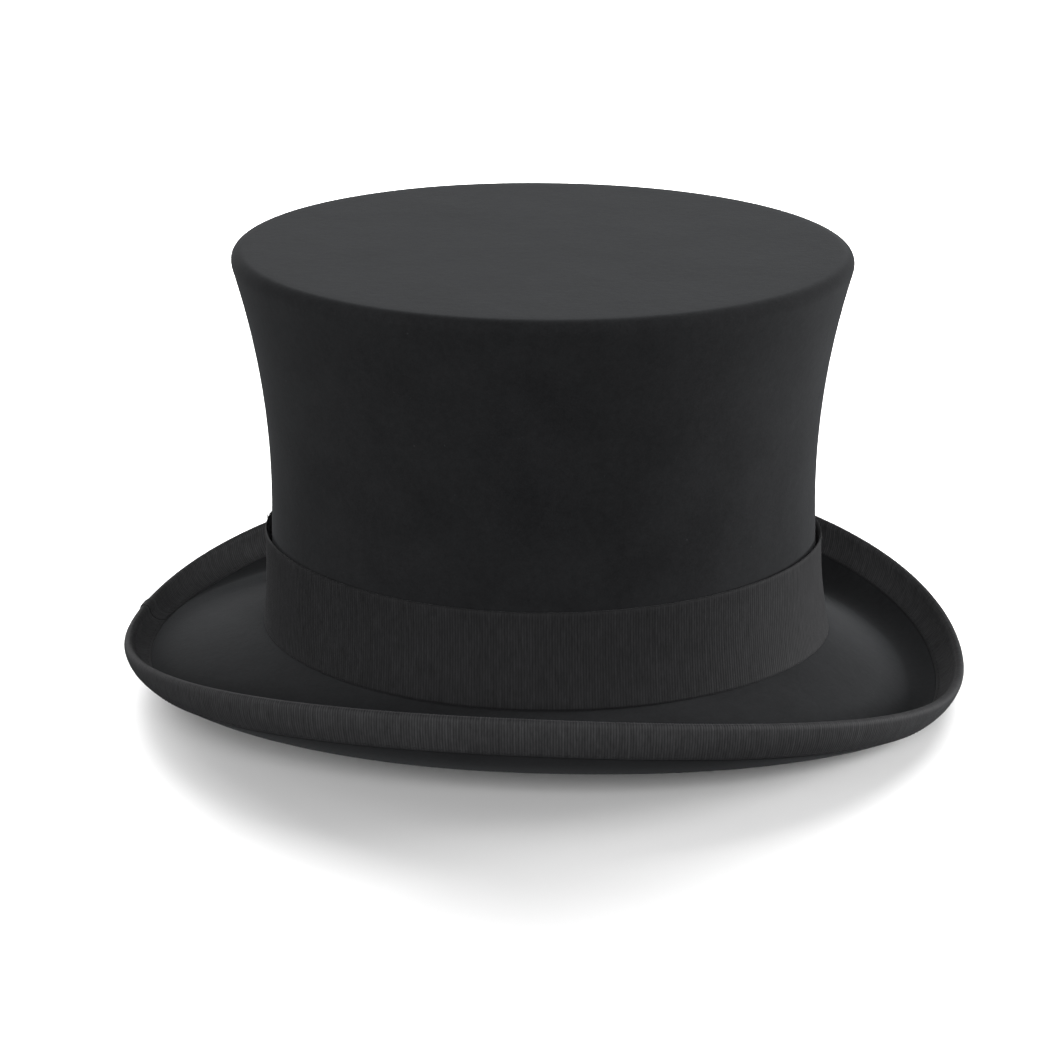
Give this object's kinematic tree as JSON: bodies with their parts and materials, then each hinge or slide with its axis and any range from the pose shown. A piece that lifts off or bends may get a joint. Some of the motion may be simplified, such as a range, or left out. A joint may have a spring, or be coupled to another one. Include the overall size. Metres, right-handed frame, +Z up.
{
  "type": "top hat",
  "caption": "Felt top hat: flat oval tip, waisted crown with ribbon band and flat bow, curled brim with folded ribbon binding, leather sweatband and satin lining.",
  "frame": {"origin": "middle of the hat's footprint, level with the lowest point of its brim", "axes": "+X to the wearer's front, +Y to the wearer's left, +Z up through the flat tip"},
  "size_m": [0.3204, 0.2832, 0.172],
  "materials": {
    "felt": "smooth matte wool or fur felt, short nap",
    "ribbon": "ribbed grosgrain ribbon",
    "thread": "twisted sewing thread",
    "leather": "smooth roan leather, fine grain",
    "welt_cloth": "coated cloth",
    "reed": "smooth reed",
    "satin_ribbon": "narrow satin ribbon",
    "tag_paper": "blank coated paper",
    "satin": "satin with a soft sheen",
    "foam": "soft open foam",
    "clear_sheet": "thin clear flexible sheet"
  },
  "bodies": {
    "root": {"felt_body": "felt", "brim_binding": "ribbon", "binding_stitches_upper": "thread", "binding_stitches_under": "thread", "hat_band": "ribbon", "band_tack_front": "thread", "band_tack_back": "thread", "bow_base": "ribbon", "bow_loops": "ribbon", "bow_knot": "ribbon", "sweatband": "leather", "sweatband_welt": "welt_cloth", "sweatband_reed": "reed", "sweatband_stitches": "thread", "sweatband_bow": "satin_ribbon", "sweatband_bow_knot": "satin_ribbon", "size_tag": "tag_paper", "lining_side": "satin", "lining_piping": "satin", "lining_tip": "satin", "tip_pad": "foam", "crest_guard": "clear_sheet"}
  },
  "joints": []
}
